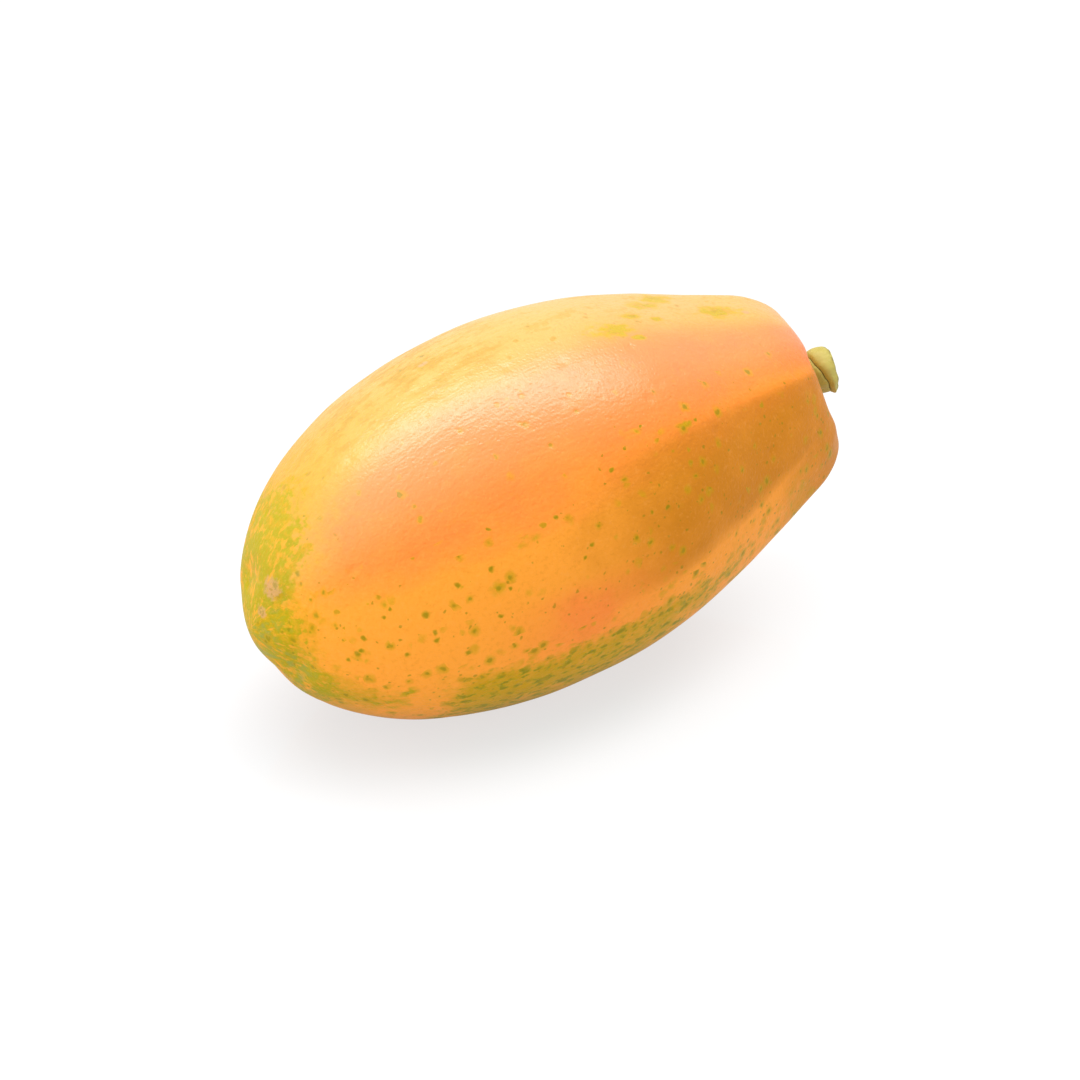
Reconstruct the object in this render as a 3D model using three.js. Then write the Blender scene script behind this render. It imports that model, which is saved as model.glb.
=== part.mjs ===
// A ripe papaya as picked, lying on its side, with the cut stub of its stalk.
// Units are millimetres and +Z is up. The stem end points towards +X and is a little raised.
// The origin is on the surface it lies on, below the middle of the whole fruit.
import * as THREE from 'three';

// Fruit body, measured along and around its own axis from the ring where it is widest
const WIDEST_RADIUS = 49.7;
const BLOSSOM_REACH = 84.4;
const STEM_REACH = 92.6;

// The blossom half closes in a full dome
const DOME_FULLNESS = 2.2;
const DOME_ROUNDNESS = 1.87;

// The stem half curves into a straight taper that takes off about half the width,
// then turns over a rounded shoulder
const TAPER_SHARE = 0.524;
const TAPER_EASE = 0.58;
const SHOULDER_LENGTH = 12;
const SHOULDER_DEPTH = 6;

// The stem end faces sideways a little, and is dished where the stalk leaves it
const STEM_END_SLANT = 0.3;
const STEM_END_DISH = 3;
const SLANT_START = 20;
const SLANT_RUN = 55;

// Five soft lobes run along the fruit and stand out most at the stem end
const LOBE_COUNT = 5;
const LOBE_HEIGHT = 0.04;
const LOBE_CREST_POWER = 1.6;
const LOBE_LEVEL = 0.41;
const LOBE_START = -40;
const LOBE_RUN = 120;
const LOBE_FADE_POWER = 1.5;

// Angles around the axis, from straight up towards the front (-Y)
const FRONT_CREST_ANGLE = THREE.MathUtils.degToRad(51.3);
const SAG_ANGLE = THREE.MathUtils.degToRad(141.3);

// Both ends curve away from a straight axis by this much, this far from the widest ring
const SAG_DEPTH = 1.9;
const SAG_SPAN = 90;

// How it lies: the tilt of its axis, and the height of the middle of its widest ring,
// which leaves a small flat spot where its own weight presses it on the surface
const AXIS_TILT = THREE.MathUtils.degToRad(7);
const REST_HEIGHT = 48.5;

// Stalk stub, measured along its own axis from the bottom of the dish
const STALK_GAP = 0.3;
const NECK_RADIUS = 5.2;
const ROOT_FLARE = 1.1;
const COLLAR_RADIUS = 7;
const CREASE_HEIGHT = 7.4;
const CREASE_TILT = 0.9;
const STUB_LENGTH = 11.6;
const CUT_EDGE_ROUNDING = 1;
const CUT_FACE_HOLLOW = 0.5;

// How finely the curved surfaces are divided
const AROUND_FRUIT = 64;
const DOME_RINGS = 24;
const TAPER_RINGS = 16;
const SHOULDER_RINGS = 6;
const DISH_RINGS = 5;
const AROUND_STALK = 32;

const SKIN = { color: 0xfba24a, roughness: 0.42, metalness: 0 };
const STALK = { color: 0xc0b552, roughness: 0.6, metalness: 0 };

function smoothStep(value) {
  const t = THREE.MathUtils.clamp(value, 0, 1);
  return t * t * (3 - 2 * t);
}

// Radius of the dome between the widest ring and the blossom tip
function domeRadius(x) {
  const share = Math.min(-x / BLOSSOM_REACH, 1);
  return WIDEST_RADIUS * (1 - share ** DOME_FULLNESS) ** (1 / DOME_ROUNDNESS);
}

// Radius of the stem half, with the shoulder rounded off at its end
function taperRadius(x) {
  const ease = (share) => Math.hypot(1, share / TAPER_EASE) - 1;
  const taper = WIDEST_RADIUS * (1 - (TAPER_SHARE * ease(x / STEM_REACH)) / ease(1));
  const turn = THREE.MathUtils.clamp((x - STEM_REACH + SHOULDER_LENGTH) / SHOULDER_LENGTH, 0, 1);
  return taper - SHOULDER_DEPTH * (1 - Math.sqrt(1 - turn * turn));
}

// Place along the axis of a point on the dished end, from its share of the end's radius
function dishReach(share) {
  return STEM_REACH - STEM_END_DISH * (1 - share * share) ** 2;
}

// The outline of the fruit from the blossom tip to the middle of the stem end,
// as rings with a place on the axis and a mean radius
function outlineRings() {
  const rings = [];
  for (let i = 1; i <= DOME_RINGS; i += 1) {
    const x = -BLOSSOM_REACH * Math.cos((0.5 * Math.PI * i) / DOME_RINGS);
    rings.push({ x, radius: domeRadius(x) });
  }
  const shoulderStart = STEM_REACH - SHOULDER_LENGTH;
  for (let i = 1; i <= TAPER_RINGS; i += 1) {
    const x = (shoulderStart * i) / TAPER_RINGS;
    rings.push({ x, radius: taperRadius(x) });
  }
  for (let i = 1; i <= SHOULDER_RINGS; i += 1) {
    const x = shoulderStart + SHOULDER_LENGTH * Math.sin((0.5 * Math.PI * i) / SHOULDER_RINGS);
    rings.push({ x, radius: taperRadius(x) });
  }
  const endRadius = taperRadius(STEM_REACH);
  for (let i = 1; i < DISH_RINGS; i += 1) {
    const share = 1 - i / DISH_RINGS;
    rings.push({ x: dishReach(share), radius: endRadius * share });
  }
  return rings;
}

// Change of radius from the lobes, as a share of the radius
function lobeShare(x, angle) {
  const crest = Math.cos(0.5 * LOBE_COUNT * (angle - FRONT_CREST_ANGLE)) ** 2;
  const strength = THREE.MathUtils.clamp((x - LOBE_START) / LOBE_RUN, 0, 1) ** LOBE_FADE_POWER;
  return LOBE_HEIGHT * strength * (crest ** LOBE_CREST_POWER - LOBE_LEVEL);
}

// Turns a point on the fruit's own axes into the place where the fruit lies
function layDown(point) {
  const laid = point.clone().applyAxisAngle(new THREE.Vector3(0, 1, 0), -AXIS_TILT);
  laid.z += REST_HEIGHT;
  return laid;
}

// Point of the fruit's surface for a ring and an angle around it, on the fruit's own axes
function surfacePoint(ring, angle) {
  const radius = ring.radius * (1 + lobeShare(ring.x, angle));
  const slant = STEM_END_SLANT * smoothStep((ring.x - SLANT_START) / SLANT_RUN);
  const sag = SAG_DEPTH * (ring.x / SAG_SPAN) ** 2;
  return new THREE.Vector3(
    ring.x - slant * radius * Math.cos(angle - FRONT_CREST_ANGLE),
    -radius * Math.sin(angle) - sag * Math.sin(SAG_ANGLE),
    radius * Math.cos(angle) + sag * Math.cos(SAG_ANGLE),
  );
}

// Closed mesh from rings of points and a point that closes each end
function closedLoft(first, rings, last) {
  const count = rings[0].length;
  const points = [first, ...rings.flat(), last];
  const index = [];
  const at = (ring, side) => 1 + ring * count + (side % count);
  for (let side = 0; side < count; side += 1) {
    index.push(0, at(0, side + 1), at(0, side));
    for (let ring = 0; ring < rings.length - 1; ring += 1) {
      index.push(at(ring, side), at(ring, side + 1), at(ring + 1, side + 1));
      index.push(at(ring, side), at(ring + 1, side + 1), at(ring + 1, side));
    }
    index.push(points.length - 1, at(rings.length - 1, side), at(rings.length - 1, side + 1));
  }
  const geometry = new THREE.BufferGeometry().setFromPoints(points);
  geometry.setIndex(index);
  geometry.computeVertexNormals();
  return geometry;
}

// The fruit: one solid, pressed flat where it would sink below the surface
function buildFruit() {
  const press = (point) => {
    const laid = layDown(point);
    laid.z = Math.max(laid.z, 0);
    return laid;
  };
  const rings = outlineRings().map((ring) => {
    const points = [];
    for (let side = 0; side < AROUND_FRUIT; side += 1) {
      points.push(press(surfacePoint(ring, (2 * Math.PI * side) / AROUND_FRUIT)));
    }
    return points;
  });
  const tip = press(surfacePoint({ x: -BLOSSOM_REACH, radius: 0 }, 0));
  const dish = press(surfacePoint({ x: dishReach(0), radius: 0 }, 0));
  const mesh = new THREE.Mesh(closedLoft(tip, rings, dish), new THREE.MeshStandardMaterial(SKIN));
  mesh.name = 'fruit';
  return mesh;
}

// Rings of the stalk stub: height above the bottom of the dish, radius, and how much of
// the crease's tilt the ring follows. The root stands as high as the dish does around it.
function stalkRings() {
  const root = NECK_RADIUS + ROOT_FLARE;
  const rootHeight = dishReach(root / taperRadius(STEM_REACH)) - dishReach(0);
  const rise = STUB_LENGTH - CREASE_HEIGHT;
  return [
    { height: rootHeight, radius: root, tilt: 0 },
    { height: rootHeight + ROOT_FLARE, radius: NECK_RADIUS + 0.3 * ROOT_FLARE, tilt: 0 },
    { height: 0.6 * CREASE_HEIGHT, radius: NECK_RADIUS, tilt: 0.5 },
    { height: CREASE_HEIGHT, radius: NECK_RADIUS, tilt: 1 },
    { height: CREASE_HEIGHT + 0.06 * rise, radius: 0.92 * COLLAR_RADIUS, tilt: 1 },
    { height: CREASE_HEIGHT + 0.2 * rise, radius: 0.99 * COLLAR_RADIUS, tilt: 0.9 },
    { height: CREASE_HEIGHT + 0.45 * rise, radius: COLLAR_RADIUS, tilt: 0.6 },
    { height: STUB_LENGTH - CUT_EDGE_ROUNDING, radius: 0.95 * COLLAR_RADIUS, tilt: 0.2 },
    { height: STUB_LENGTH - 0.3 * CUT_EDGE_ROUNDING, radius: COLLAR_RADIUS - 0.9 * CUT_EDGE_ROUNDING, tilt: 0 },
    { height: STUB_LENGTH, radius: COLLAR_RADIUS - 1.6 * CUT_EDGE_ROUNDING, tilt: 0 },
    { height: STUB_LENGTH - 0.7 * CUT_FACE_HOLLOW, radius: 0.4 * COLLAR_RADIUS, tilt: 0 },
  ];
}

// The stalk stub: a neck out of the dish, with the swollen collar where it was cut
function buildStalk() {
  const middle = surfacePoint({ x: dishReach(0), radius: 0 }, 0);
  const front = new THREE.Vector3(0, -Math.sin(FRONT_CREST_ANGLE), Math.cos(FRONT_CREST_ANGLE));
  const axis = new THREE.Vector3(1, 0, 0).addScaledVector(front, STEM_END_SLANT).normalize();
  const upper = new THREE.Vector3().crossVectors(front, axis).normalize();
  const side = new THREE.Vector3().crossVectors(axis, upper);
  const place = (height, radius, angle) => layDown(
    middle.clone()
      .addScaledVector(axis, height + STALK_GAP)
      .addScaledVector(upper, radius * Math.cos(angle))
      .addScaledVector(side, radius * Math.sin(angle)),
  );
  const rings = stalkRings().map((ring) => {
    const points = [];
    for (let step = 0; step < AROUND_STALK; step += 1) {
      const angle = (2 * Math.PI * step) / AROUND_STALK;
      const height = ring.height - CREASE_TILT * ring.tilt * Math.cos(angle);
      points.push(place(height, ring.radius, angle));
    }
    return points;
  });
  const root = place(0, 0, 0);
  const cut = place(STUB_LENGTH - CUT_FACE_HOLLOW, 0, 0);
  const mesh = new THREE.Mesh(closedLoft(root, rings, cut), new THREE.MeshStandardMaterial(STALK));
  mesh.name = 'stalk_stub';
  return mesh;
}

const papaya = new THREE.Group();
papaya.add(buildFruit(), buildStalk());

// Stand the whole object over the origin
const middle = new THREE.Box3().setFromObject(papaya).getCenter(new THREE.Vector3());
papaya.position.set(-middle.x, -middle.y, 0);
papaya.updateMatrixWorld(true);

export default papaya;
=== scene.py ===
"""A ripe papaya lying on its side, grown over its CAD frame and set on a plain white floor."""
import math
from functools import partialmethod, reduce

import bmesh
import bpy
from mathutils import Matrix, Vector, noise


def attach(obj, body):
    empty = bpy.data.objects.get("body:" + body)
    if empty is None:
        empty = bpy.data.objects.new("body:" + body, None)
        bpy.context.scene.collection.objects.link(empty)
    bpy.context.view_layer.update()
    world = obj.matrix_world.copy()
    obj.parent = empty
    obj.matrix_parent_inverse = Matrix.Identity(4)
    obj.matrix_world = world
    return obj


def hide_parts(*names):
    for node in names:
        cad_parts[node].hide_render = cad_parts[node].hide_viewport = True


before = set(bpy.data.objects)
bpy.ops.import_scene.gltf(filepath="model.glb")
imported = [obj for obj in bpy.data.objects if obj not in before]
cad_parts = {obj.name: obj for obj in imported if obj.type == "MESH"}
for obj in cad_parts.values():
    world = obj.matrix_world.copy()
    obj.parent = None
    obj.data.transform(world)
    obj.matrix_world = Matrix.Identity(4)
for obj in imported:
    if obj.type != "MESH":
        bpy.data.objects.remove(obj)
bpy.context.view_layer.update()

bl_info = {
    "name": "Ripe papaya",
    "version": (1, 0, 0),
    "blender": (4, 5, 0),
    "location": "3D View > Sidebar > Papaya",
    "description": "Grows a ripe papaya with its stalk stub and sets it on a white floor",
    "category": "Object",
}

MM = 0.001

# Where the middle of the widest ring stands, from the origin below the middle of the whole fruit
RING_MIDDLE = Vector((-9.19 * MM, -0.187 * MM, 48.5 * MM))
AXIS_TILT = math.radians(7)

# The fruit's own axes as it lies: along it to the stem end, out through the front crest,
# and square to both, which is the upper side as the camera sees it
FRONT_CREST = math.radians(51.3)
LAY_TURN = Matrix.Rotation(-AXIS_TILT, 3, "Y")
ALONG = LAY_TURN @ Vector((1, 0, 0))
FRONT = LAY_TURN @ Vector((0, -math.sin(FRONT_CREST), math.cos(FRONT_CREST)))
UPPER = FRONT.cross(ALONG)

# Rows of the fruit's mesh from tip to stem end, and points around it
FRUIT_ROWS = 288
FRUIT_SIDES = 340
DOME_SHARE = 0.48
SHOULDER_SHARE = 0.82
DISH_SHARE = 0.91

# Where the lobes, the slant of the stem end and the bend of the axis come in
LOBE_COUNT = 5
LOBE_START = -40 * MM
LOBE_RUN = 120 * MM
LOBE_FADE_POWER = 1.5
SLANT_START = 20 * MM
SLANT_RUN = 55 * MM
SAG_ANGLE = math.radians(141.3)
SAG_SPAN = 90 * MM

# The sharper edge on the crests, which fades out within this share of the widest radius
EDGE_POWER = 14
EDGE_FADE = 0.2

# Relief at both ends: how far its rings are from the axis, and how wide they are
TIP_GROOVE_RADIUS = 14 * MM
TIP_GROOVE_WIDTH = 4 * MM
TIP_NIPPLE_WIDTH = 6 * MM
ROOT_LIP_RADIUS = 8.2 * MM
ROOT_LIP_WIDTH = 1.3 * MM

# Widths of the unevenness, wrinkles and dimples
UNDULATION_WIDTH = 30 * MM
WRINKLE_WIDTH = 5.5 * MM
WRINKLE_STRETCH = 3.5
DIMPLE_CELL = 12 * MM
DIMPLE_RADIUS = 2.1 * MM
DIMPLE_FLOOR = 0.3 * MM
DIMPLE_BEND_SIZE = 7 * MM
DIMPLE_BEND_REACH = 2 * MM

# Middle of the flat spot that the fruit lies on
REST_SPOT = (-22 * MM, 0, 0)

# Gap between the dish and the stalk, how finely the stalk is divided, and its lumps
STALK_GAP = 0.3 * MM
STALK_SIDES = 96
STALK_STEPS = 6
LUMP_LENGTH = 9 * MM
LUMP_HEIGHT = 0.35 * MM
LUMP_LIFT = 0.25 * MM
LUMP_START = 4 * MM
FIBRE_LENGTH = 14 * MM

# The long overhead light
OVERHEAD_PLACE = Vector((0.10, 0.268, 0.97))
OVERHEAD_TARGET = Vector((0, 0, 0.05))
OVERHEAD_WIDTH = 1.35
OVERHEAD_DEPTH = 0.24

# The camera looks from the photo's side of the fruit
CAMERA_AZIMUTH = math.radians(-33.57)
CAMERA_ELEVATION = math.radians(31.15)
CAMERA_DISTANCE = 0.88
CAMERA_LENS = 110
CAMERA_SENSOR = 36
AIM_RIGHT = 3.76 * MM
AIM_DOWN = 10.4 * MM
CAMERA_RIGHT = Vector((math.cos(CAMERA_AZIMUTH), math.sin(CAMERA_AZIMUTH), 0))
CAMERA_BACK = Vector((
    math.sin(CAMERA_AZIMUTH) * math.cos(CAMERA_ELEVATION),
    -math.cos(CAMERA_AZIMUTH) * math.cos(CAMERA_ELEVATION),
    math.sin(CAMERA_ELEVATION),
))


def length(name, description, millimetres):
    """A length property"""
    return bpy.props.FloatProperty(
        name=name, description=description, default=millimetres * MM, min=0, unit="LENGTH", precision=5
    )


def number(name, description, default, top=4.0):
    """A property for a plain number, such as a share, a power or a strength"""
    return bpy.props.FloatProperty(name=name, description=description, default=default, min=0, max=top)


def colour(name, description, red, green, blue):
    """A colour property"""
    return bpy.props.FloatVectorProperty(
        name=name, description=description, default=(red, green, blue), subtype="COLOR", min=0, max=1
    )


class PapayaFruitSizes(bpy.types.PropertyGroup):
    """Sizes of the fruit, which are those of its CAD part, and of its skin's relief"""

    widest_radius: length("Widest radius", "Radius of the widest ring", 49.7)
    blossom_reach: length("Blossom reach", "From the widest ring to the blossom tip", 84.4)
    stem_reach: length("Stem reach", "From the widest ring to the rim of the stem end", 92.6)
    dome_fullness: number("Dome fullness", "Power that keeps the blossom half wide", 2.2)
    dome_roundness: number("Dome roundness", "Power that rounds the blossom tip", 1.87)
    taper_share: number("Taper share", "Share of the width that the stem half loses", 0.524, 1.0)
    taper_ease: number("Taper ease", "How far along the taper becomes straight", 0.58, 1.0)
    shoulder_length: length("Shoulder length", "Length of the rounding at the stem end", 12)
    shoulder_depth: length("Shoulder depth", "How far the rounding turns in", 6)
    end_slant: number("End slant", "How much the stem end faces sideways", 0.3, 1.0)
    end_dish: length("End dish", "Depth of the dish round the stalk", 3)
    lobe_height: number("Lobe height", "Height of the lobes as a share of the radius", 0.04, 0.2)
    lobe_power: number("Lobe power", "How narrow the crests of the lobes are", 1.6)
    lobe_level: number("Lobe level", "Level of the crests about which the radius changes", 0.41, 1.0)
    sag_depth: length("Sag depth", "How far the ends curve away from a straight axis", 1.9)
    tip_groove: length("Tip groove", "Depth of the groove round the blossom tip", 1.4)
    tip_nipple: length("Tip nipple", "Height of the swelling at the blossom tip", 0.9)
    crest_ridge: length("Crest ridge", "Height of the sharper edge on the crests", 0.9)
    root_lip: length("Root lip", "Height of the lip of skin round the stalk", 0.5)
    undulation: length("Undulation", "Height of the broad unevenness of the skin", 0.9)
    wrinkle: length("Wrinkle", "Height of the faint lengthwise wrinkles", 0.19)
    dimple: length("Dimple", "Depth of the scattered dimples", 0.3)
    rim_dent: length("Rim dent", "Depth of the dent in the near rim of the stem end", 0.9)


class PapayaSkinColours(bpy.types.PropertyGroup):
    """Colours of the skin's zones and marks"""

    golden: colour("Golden", "Ground colour of the ripe skin", 0.99, 0.358, 0.036)
    blush: colour("Blush", "Salmon flush along the front crest", 0.98, 0.245, 0.045)
    peach: colour("Peach", "Paler yellow of the upper side", 0.95, 0.405, 0.085)
    ochre: colour("Ochre", "Yellow ochre of the upper edge and its mottles", 0.62, 0.325, 0.010)
    mustard: colour("Mustard", "Duller patches and pores of the upper side", 0.54, 0.37, 0.003)
    umber: colour("Umber", "Brown streaks of the upper edge, and the pores", 0.44, 0.262, 0.003)
    # Partly the skin's own browner colour, partly painted shade below the front crest and under the stem
    # end
    amber_and_shade: colour("Amber", "Browner orange below the front crest", 0.63, 0.22, 0.010)
    olive: colour("Olive", "Ground colour of the unripe band", 0.54, 0.315, 0.002)
    lime: colour("Lime", "Unripe patches at the blossom end", 0.41, 0.325, 0.002)
    leaf: colour("Leaf", "Bluer green in the middle of unripe patches", 0.26, 0.31, 0.07)
    speckle: colour("Speckle", "Small green dots", 0.25, 0.215, 0.002)
    scar: colour("Scar", "Dry brown-pink scars", 0.60, 0.33, 0.13)


class PapayaStalkSizes(bpy.types.PropertyGroup):
    """Sizes and colours of the stalk stub"""

    neck_radius: length("Neck radius", "Radius of the neck", 5.2)
    root_flare: length("Root flare", "How far the root spreads over the neck", 1.1)
    collar_radius: length("Collar radius", "Radius of the swollen collar", 7)
    crease_height: length("Crease height", "From the root to the crease below the collar", 6.2)
    crease_tilt: length("Crease tilt", "How much lower the crease is on its upper side", 1.3)
    stub_length: length("Stub length", "From the root to the cut", 10.6)
    cut_rounding: length("Cut rounding", "Rounding of the cut's edge", 1)
    cut_hollow: length("Cut hollow", "Depth of the hollow in the cut", 0.5)
    cut_slant: length("Cut slant", "How much longer the stub is on its upper side", 1.0)
    fibre: length("Fibre", "Height of the lengthwise fibres", 0.11)
    young: colour("Young", "Yellow-green of the collar", 0.50, 0.42, 0.085)
    old: colour("Old", "Darker green of the neck", 0.42, 0.34, 0.05)
    # This brown also paints shade at the root of the stalk, where it meets the fruit's dish
    dry: colour("Dry", "Brown of the crease and the dried edges", 0.15, 0.10, 0.03)
    cut: colour("Cut", "Pale middle of the cut", 0.62, 0.50, 0.25)


class PapayaStageLook(bpy.types.PropertyGroup):
    """The floor and the light"""

    floor_colour: colour("Floor colour", "Colour of the floor", 0.84, 0.87, 0.90)
    floor_reach: length("Floor reach", "Side of the square floor", 8000)
    floor_glow: number("Floor glow", "Share of the floor that shines from below", 0.8, 1.0)
    # Floor shade and contact shade are painted shadows: they dim the floor's shine beside the fruit and
    # beside its flat spot
    floor_shade: number("Floor shade", "How much duller the floor is beside the fruit", 0.07, 1.0)
    contact_shade: number("Contact shade", "How much duller it is beside the flat spot", 0.15, 1.0)
    floor_shine: number("Floor shine", "How bright the floor's shine looks", 1.07)
    floor_light: number("Floor light", "How strongly that shine lights the fruit", 0.85, 1.0)
    overhead_power: number("Overhead power", "Power of the long overhead light in watts", 7.5, 100.0)
    front_strength: number("Front strength", "Brightness behind the camera", 0.86)
    left_strength: number("Left strength", "Brightness on the camera's left", 2.15)
    back_strength: number("Back strength", "Brightness of the backdrop as a light on the fruit", 0.84)


class Value:
    """A number in a node tree. An expression on it adds the Math nodes that work it out."""

    def __init__(self, graph, socket):
        self.graph = graph
        self.socket = socket

    def maths(self, operation, *others):
        sockets = dict(enumerate((self, *others)))
        return self.graph.add("ShaderNodeMath", {"operation": operation}, sockets)

    def after(self, operation, first):
        return self.graph.add("ShaderNodeMath", {"operation": operation}, {0: first, 1: self})

    __add__ = __radd__ = partialmethod(maths, "ADD")
    __mul__ = __rmul__ = partialmethod(maths, "MULTIPLY")
    __sub__ = partialmethod(maths, "SUBTRACT")
    __rsub__ = partialmethod(after, "SUBTRACT")
    __truediv__ = partialmethod(maths, "DIVIDE")
    __rtruediv__ = partialmethod(after, "DIVIDE")
    __pow__ = partialmethod(maths, "POWER")
    __neg__ = partialmethod(maths, "MULTIPLY", -1)
    least = partialmethod(maths, "MINIMUM")
    most = partialmethod(maths, "MAXIMUM")
    sine = partialmethod(maths, "SINE")
    cosine = partialmethod(maths, "COSINE")

    def held(self, low=0, high=1):
        return self.most(low).least(high)

    def root(self):
        return self.most(0).maths("SQRT")

    def rise(self, low, high):
        """0 up to low, 1 from high, and smooth between them. It falls where high is below low."""
        settings = {"interpolation_type": "SMOOTHSTEP"}
        sockets = {"Value": self, "From Min": low, "From Max": high}
        return self.graph.add("ShaderNodeMapRange", settings, sockets)

    def hump(self, middle, width):
        """1 at the middle, falling smoothly to nothing about two widths away"""
        offset = (self - middle) / width
        return (-(offset * offset)).maths("EXPONENT")


class Graph:
    """Adds nodes to one node tree. Every node comes from add()."""

    def __init__(self, tree):
        self.tree = tree

    def add(self, kind, settings=None, sockets=None, output=0):
        node = self.tree.nodes.new(kind)
        for name, value in (settings or {}).items():
            setattr(node, name, value)
        for key, value in (sockets or {}).items():
            if isinstance(value, Value):
                self.tree.links.new(value.socket, node.inputs[key])
            else:
                node.inputs[key].default_value = value
        return Value(self, node.outputs[output])

    def link(self, value, socket):
        self.tree.links.new(value.socket, socket)

    def vector(self, operation, *values, output=0):
        return self.add("ShaderNodeVectorMath", {"operation": operation}, dict(enumerate(values)), output)

    def dot(self, point, direction):
        return self.vector("DOT_PRODUCT", point, tuple(direction), output=1)

    def scaled(self, vector, amount):
        return self.add("ShaderNodeVectorMath", {"operation": "SCALE"}, {0: vector, "Scale": amount})

    def parts(self, vector):
        separate = self.add("ShaderNodeSeparateXYZ", sockets={0: vector}).socket.node
        return [Value(self, output) for output in separate.outputs]

    def joined(self, x, y, z):
        return self.add("ShaderNodeCombineXYZ", sockets={0: x, 1: y, 2: z})

    def mix(self, first, second, factor):
        def full(value):
            return value if isinstance(value, Value) else (*value, 1)

        settings = {"data_type": "RGBA", "clamp_factor": True}
        sockets = {0: factor, 6: full(first), 7: full(second)}
        return self.add("ShaderNodeMix", settings, sockets, output=2)

    def noise(self, place, size, detail=2.0, roughness=0.5, output=0):
        sockets = {"Vector": place, "Scale": 1 / size, "Detail": detail, "Roughness": roughness}
        return self.add("ShaderNodeTexNoise", {"noise_dimensions": "3D"}, sockets, output)

    def cells(self, place, size, output=0):
        sockets = {"Vector": place, "Scale": 1 / size}
        return self.add("ShaderNodeTexVoronoi", {"feature": "F1"}, sockets, output)


def object_place(graph):
    """The shaded point in the object's own coordinates"""
    return graph.add("ShaderNodeTexCoord", output=3)


def property_values(group):
    """The sizes and colours of a property group by name"""
    names = group.bl_rna.properties.keys()
    return {name: getattr(group, name) for name in names if name not in ("rna_type", "name")}


def new_object(name, data):
    """A new object at the origin, which is where every piece's object stays"""
    item = bpy.data.objects.new(name, data)
    bpy.context.scene.collection.objects.link(item)
    return item


def node_graph(holder):
    """The graph of a material's or world's nodes"""
    holder.use_nodes = True
    return Graph(holder.node_tree)


def grown_piece(name, tree, values):
    """Runs a Geometry Nodes tree and keeps what it makes as a plain mesh"""
    piece = new_object(name, bpy.data.meshes.new(name + "_seed"))
    modifier = piece.modifiers.new("Grow", "NODES")
    modifier.node_group = tree
    for item in tree.interface.items_tree:
        if item.in_out == "INPUT" and item.name in values:
            modifier[item.identifier] = values[item.name]
    depsgraph = bpy.context.evaluated_depsgraph_get()
    mesh = bpy.data.meshes.new_from_object(piece.evaluated_get(depsgraph), depsgraph=depsgraph)
    piece.modifiers.remove(modifier)
    piece.data = mesh
    mesh.name = name
    if not mesh.polygons:
        raise RuntimeError(f"the {name} tree made no mesh")
    return piece


def geometry_tree(name, inputs):
    """A Geometry Nodes tree with named number inputs, as a graph and its inputs by name"""
    tree = bpy.data.node_groups.new(name, "GeometryNodeTree")
    tree.interface.new_socket("Geometry", in_out="OUTPUT", socket_type="NodeSocketGeometry")
    for label in inputs:
        tree.interface.new_socket(label, in_out="INPUT", socket_type="NodeSocketFloat")
    graph = Graph(tree)
    entry = tree.nodes.new("NodeGroupInput")
    return graph, {label: Value(graph, entry.outputs[label]) for label in inputs}


def finish_tree(graph, geometry, material):
    """Ends a Geometry Nodes tree in smooth shading, Realize Instances and Set Material"""
    smooth = graph.add("GeometryNodeSetShadeSmooth", sockets={"Geometry": geometry})
    real = graph.add("GeometryNodeRealizeInstances", sockets={"Geometry": smooth})
    painted = graph.add("GeometryNodeSetMaterial", sockets={"Geometry": real, "Material": material})
    leave = graph.tree.nodes.new("NodeGroupOutput")
    graph.tree.links.new(painted.socket, leave.inputs[0])


# Fruit body

def outline(row, size):
    """Place along the axis and radius of the fruit's outline, by share of the rows from the tip"""
    dome_turn = (row / DOME_SHARE).held()
    dome_place = (dome_turn * (math.pi / 2)).cosine().most(0)
    dome = (1 - dome_place ** size["dome_fullness"]).most(0) ** (1 / size["dome_roundness"])

    taper_turn = ((row - DOME_SHARE) / (SHOULDER_SHARE - DOME_SHARE)).held()
    shoulder_turn = ((row - SHOULDER_SHARE) / (DISH_SHARE - SHOULDER_SHARE)).held()
    shoulder_place = (shoulder_turn * (math.pi / 2)).sine()
    reach = (size["stem_reach"] - size["shoulder_length"]) * taper_turn
    reach = reach + size["shoulder_length"] * shoulder_place
    ease = ((reach / size["stem_reach"] / size["taper_ease"]) ** 2 + 1).root() - 1
    full_ease = (1 / (size["taper_ease"] ** 2) + 1).root() - 1
    taper = 1 - size["taper_share"] * ease / full_ease
    shoulder = size["shoulder_depth"] * (1 - (1 - shoulder_place * shoulder_place).root())

    inward = ((row - DISH_SHARE) / (1 - DISH_SHARE)).held()
    outward = 1 - inward
    radius = (size["widest_radius"] * dome * taper - shoulder) * outward
    dish = size["end_dish"] * (1 - outward * outward) ** 2
    return reach - size["blossom_reach"] * dome_place - dish, radius


def lobed(along, radius, from_crest, size):
    """Radius with the five lobes and the sharper edge on the crests of the stem half"""
    crest = (from_crest * (LOBE_COUNT / 2)).cosine()
    crest = crest * crest
    strength = ((along - LOBE_START) / LOBE_RUN).held()
    shape = crest ** size["lobe_power"] - size["lobe_level"]
    swell = size["lobe_height"] * strength ** LOBE_FADE_POWER * shape
    edge = size["crest_ridge"] * crest ** EDGE_POWER * strength * strength
    outside = radius / (EDGE_FADE * size["widest_radius"])
    return radius * (1 + swell) + edge * outside.held()


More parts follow.
